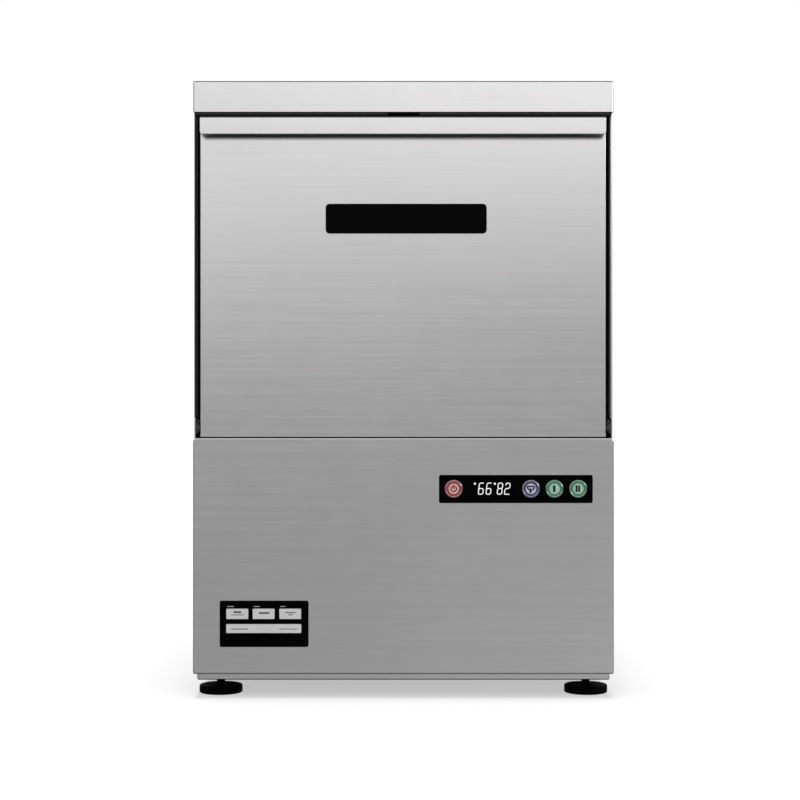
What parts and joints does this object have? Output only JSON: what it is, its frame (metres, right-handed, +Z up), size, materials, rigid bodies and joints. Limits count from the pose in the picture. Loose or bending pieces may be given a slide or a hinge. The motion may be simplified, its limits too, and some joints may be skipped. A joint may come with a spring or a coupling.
{
  "type": "glass washer machine",
  "caption": "Under-counter glass washer with a drop-down door, folded lip handle, lower control panel, rack chamber with spray arms, and levelling feet.",
  "frame": {"origin": "on the floor, under the centre of the bounding box", "axes": "+Z up, front with the door faces -Y, +X to the right as seen from the front"},
  "size_m": [0.47, 0.535, 0.69],
  "materials": {
    "outer_steel": "brushed, satin",
    "inner_steel": "bright, formed sheet",
    "hardware": "zinc plated",
    "bracket_steel": "dark coated",
    "black_plastic": "fine texture",
    "badge_black": "semi gloss",
    "fascia_black": "gloss film",
    "window_dark": "tinted window",
    "seal_rubber": "matt",
    "hose_rubber": "matt",
    "bezel_tint": "translucent tint",
    "cap_red": "gloss",
    "cap_blue": "gloss",
    "cap_green": "gloss",
    "board_green": "solder mask",
    "moulding_grey": "glass filled",
    "pump_black": "moulded",
    "motor_grey": "painted casting",
    "rotor_white": "moulded",
    "boiler_steel": "welded shell",
    "element_alloy": "sheathed",
    "valve_blue": "moulded",
    "drain_green": "moulded",
    "terminal_cream": "moulded",
    "rack_blue": "moulded"
  },
  "bodies": {
    "cabinet": {"base_tray": "outer_steel", "side_panel_left": "outer_steel", "side_panel_right": "outer_steel", "rear_panel": "outer_steel", "top_panel": "outer_steel", "lower_front_panel": "outer_steel", "panel_screws": "hardware", "front_frame": "inner_steel", "door_seal": "seal_rubber", "door_catch": "black_plastic", "hinge_brackets": "bracket_steel", "wash_chamber": "inner_steel", "wash_tank": "inner_steel", "tank_filters": "inner_steel", "pump_strainer": "inner_steel", "lower_manifold": "moulding_grey", "upper_manifold": "moulding_grey", "upper_feed_pipe": "inner_steel", "rack_rails": "inner_steel", "tank_element": "element_alloy", "control_overlay": "fascia_black", "control_housing": "moulding_grey", "display_window": "window_dark", "button_bezels": "bezel_tint", "control_pcb": "board_green", "label_plate": "fascia_black", "foot_nuts": "hardware", "wash_pump_motor": "motor_grey", "wash_pump_casing": "pump_black", "suction_hose": "hose_rubber", "delivery_hose": "hose_rubber", "drain_pump": "drain_green", "drain_spigot": "black_plastic", "boiler": "boiler_steel", "boiler_element": "element_alloy", "inlet_valve": "valve_blue", "terminal_block": "terminal_cream", "cable_gland": "black_plastic", "arm_nuts": "moulding_grey"},
    "door": {"door_outer_skin": "outer_steel", "door_inner_liner": "inner_steel", "door_handle": "outer_steel", "door_badge": "badge_black", "door_hinge_blocks": "hardware"},
    "lower_wash_spray": {"lower_wash_arm": "inner_steel"},
    "lower_rinse_spray": {"lower_rinse_arm": "inner_steel"},
    "upper_wash_spray": {"upper_wash_arm": "inner_steel"},
    "upper_rinse_spray": {"upper_rinse_arm": "inner_steel"},
    "power_button": {"button_power": "cap_red"},
    "drain_button": {"button_drain": "cap_blue"},
    "cycle_1_button": {"button_cycle_1": "cap_green"},
    "cycle_2_button": {"button_cycle_2": "cap_green"},
    "front_left_foot": {"foot_front_left": "black_plastic"},
    "front_right_foot": {"foot_front_right": "black_plastic"},
    "rear_left_foot": {"foot_rear_left": "black_plastic"},
    "rear_right_foot": {"foot_rear_right": "black_plastic"},
    "rack": {"rack_base": "rack_blue", "rack_walls": "rack_blue"},
    "wash_rotor": {"wash_pump_rotor": "rotor_white"},
    "drain_rotor": {"drain_pump_rotor": "rotor_white"}
  },
  "joints": [
    {"name": "door_hinge", "type": "hinge", "parent": "cabinet", "child": "door", "pos_m": [0, -0.2495, 0.3015], "axis": [1, 0, 0], "range_deg": [0, 90]},
    {"name": "lower_wash_spin", "type": "hinge", "parent": "cabinet", "child": "lower_wash_spray", "pos_m": [0, 0, 0.2855], "axis": [0, 0, 1], "continuous": true},
    {"name": "lower_rinse_spin", "type": "hinge", "parent": "cabinet", "child": "lower_rinse_spray", "pos_m": [0, 0, 0.306], "axis": [0, 0, 1], "continuous": true},
    {"name": "upper_wash_spin", "type": "hinge", "parent": "cabinet", "child": "upper_wash_spray", "pos_m": [0, 0, 0.6025], "axis": [0, 0, 1], "continuous": true},
    {"name": "upper_rinse_spin", "type": "hinge", "parent": "cabinet", "child": "upper_rinse_spray", "pos_m": [0, 0, 0.582], "axis": [0, 0, 1], "continuous": true},
    {"name": "power_press", "type": "slide", "parent": "cabinet", "child": "power_button", "axis": [0, 1, 0], "range_m": [0, 0.002], "stiffness_N_per_m": 500, "springref_m": -0.001},
    {"name": "drain_press", "type": "slide", "parent": "cabinet", "child": "drain_button", "axis": [0, 1, 0], "range_m": [0, 0.002], "stiffness_N_per_m": 500, "springref_m": -0.001},
    {"name": "cycle_1_press", "type": "slide", "parent": "cabinet", "child": "cycle_1_button", "axis": [0, 1, 0], "range_m": [0, 0.002], "stiffness_N_per_m": 500, "springref_m": -0.001},
    {"name": "cycle_2_press", "type": "slide", "parent": "cabinet", "child": "cycle_2_button", "axis": [0, 1, 0], "range_m": [0, 0.002], "stiffness_N_per_m": 500, "springref_m": -0.001},
    {"name": "front_left_level", "type": "slide", "parent": "cabinet", "child": "front_left_foot", "axis": [0, 0, -1], "range_m": [0, 0.015]},
    {"name": "front_right_level", "type": "slide", "parent": "cabinet", "child": "front_right_foot", "axis": [0, 0, -1], "range_m": [0, 0.015]},
    {"name": "rear_left_level", "type": "slide", "parent": "cabinet", "child": "rear_left_foot", "axis": [0, 0, -1], "range_m": [0, 0.015]},
    {"name": "rear_right_level", "type": "slide", "parent": "cabinet", "child": "rear_right_foot", "axis": [0, 0, -1], "range_m": [0, 0.015]},
    {"name": "rack_play", "type": "slide", "parent": "cabinet", "child": "rack", "axis": [0, -1, 0], "range_m": [0, 0.01]},
    {"name": "wash_rotor_spin", "type": "hinge", "parent": "cabinet", "child": "wash_rotor", "pos_m": [-0.11, 0, 0.09], "axis": [0, 1, 0], "continuous": true},
    {"name": "drain_rotor_spin", "type": "hinge", "parent": "cabinet", "child": "drain_rotor", "pos_m": [-0.184, 0.075, 0.06], "axis": [0, 0, 1], "continuous": true}
  ]
}
